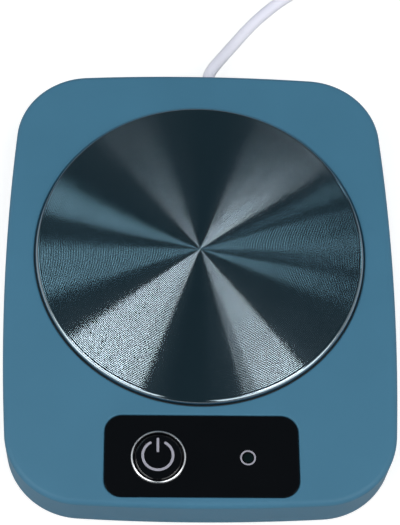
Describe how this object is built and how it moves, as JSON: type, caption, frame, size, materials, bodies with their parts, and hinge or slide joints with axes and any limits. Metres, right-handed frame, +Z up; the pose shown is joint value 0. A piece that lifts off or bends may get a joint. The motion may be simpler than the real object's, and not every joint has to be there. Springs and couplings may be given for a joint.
{
  "type": "electric mug warmer",
  "caption": "Flat desk warmer for a mug: bowed moulded case with a grooved metal plate, a gloss panel with a ringed push button and an indicator light, rubber feet and a thin supply lead.",
  "frame": {"origin": "the point on the resting surface below the middle of the case, not counting the free lead", "axes": "+Z up, -Y towards the panel with the button, +Y towards the lead, +X to the right of someone who faces the panel"},
  "size_m": [0.123, 0.2571, 0.0179],
  "materials": {
    "case_plastic": "satin moulded plastic, blue",
    "foot_rubber": "matt black rubber",
    "screw_steel": "zinc plated",
    "plate_metal": "turned in fine concentric grooves and dyed dark teal, bright bevel",
    "seal_rubber": "dark silicone",
    "heater_mica": "mica sheet",
    "insulation_fibre": "pressed fibre felt",
    "bracket_steel": "pressed sheet steel",
    "fuse_ceramic": "white sleeve",
    "panel_gloss": "polished black",
    "bezel_chrome": "bright plated",
    "button_gloss": "polished black with a silver mark",
    "window_dark": "dark tinted window",
    "emitter_white": "white",
    "board_green": "solder mask",
    "part_black": "moulded black",
    "capacitor_can": "plain can",
    "socket_plastic": "moulded cream",
    "wire_red": "insulated wire",
    "wire_white": "insulated wire",
    "lead_white": "smooth white jacket",
    "tie_black": "black strap",
    "plug_nickel": "nickel plated shell",
    "contact_gold": "gold plated"
  },
  "bodies": {
    "case": {"top_cover": "case_plastic", "bottom_cover": "case_plastic", "feet": "foot_rubber", "case_screws": "screw_steel", "heating_plate": "plate_metal", "plate_seal": "seal_rubber", "plate_screws": "screw_steel", "heater_disc": "heater_mica", "insulation_disc": "insulation_fibre", "clamp_plate": "bracket_steel", "clamp_screws": "screw_steel", "temperature_sensor": "bracket_steel", "fuse_sleeve": "fuse_ceramic", "fuse_clip": "bracket_steel", "panel_lens": "panel_gloss", "button_bezel": "bezel_chrome", "switch_body": "part_black", "light_window": "window_dark", "light_emitter": "emitter_white", "circuit_board": "board_green", "board_screws": "screw_steel", "control_chip": "part_black", "power_transistor": "part_black", "capacitor": "capacitor_can", "resistors": "part_black", "wire_sockets": "socket_plastic", "supply_wires": "wire_red", "heater_wires": "wire_white", "sensor_wires": "wire_white", "lead_end": "lead_white", "cord_clamp": "part_black", "cord_clamp_screws": "screw_steel", "strain_relief": "lead_white", "cord_lead": "lead_white", "cord_coil": "lead_white", "cord_tail": "lead_white", "cord_tie": "tie_black", "usb_housing": "lead_white", "usb_shell": "plug_nickel", "usb_tongue": "emitter_white", "usb_contacts": "contact_gold"},
    "button": {"power_button": "button_gloss", "switch_plunger": "socket_plastic"}
  },
  "joints": [
    {"name": "button_press", "type": "slide", "parent": "case", "child": "button", "axis": [0, 0, -1], "range_m": [0, 0.0005], "stiffness_N_per_m": 1500, "springref_m": -0.0004}
  ]
}
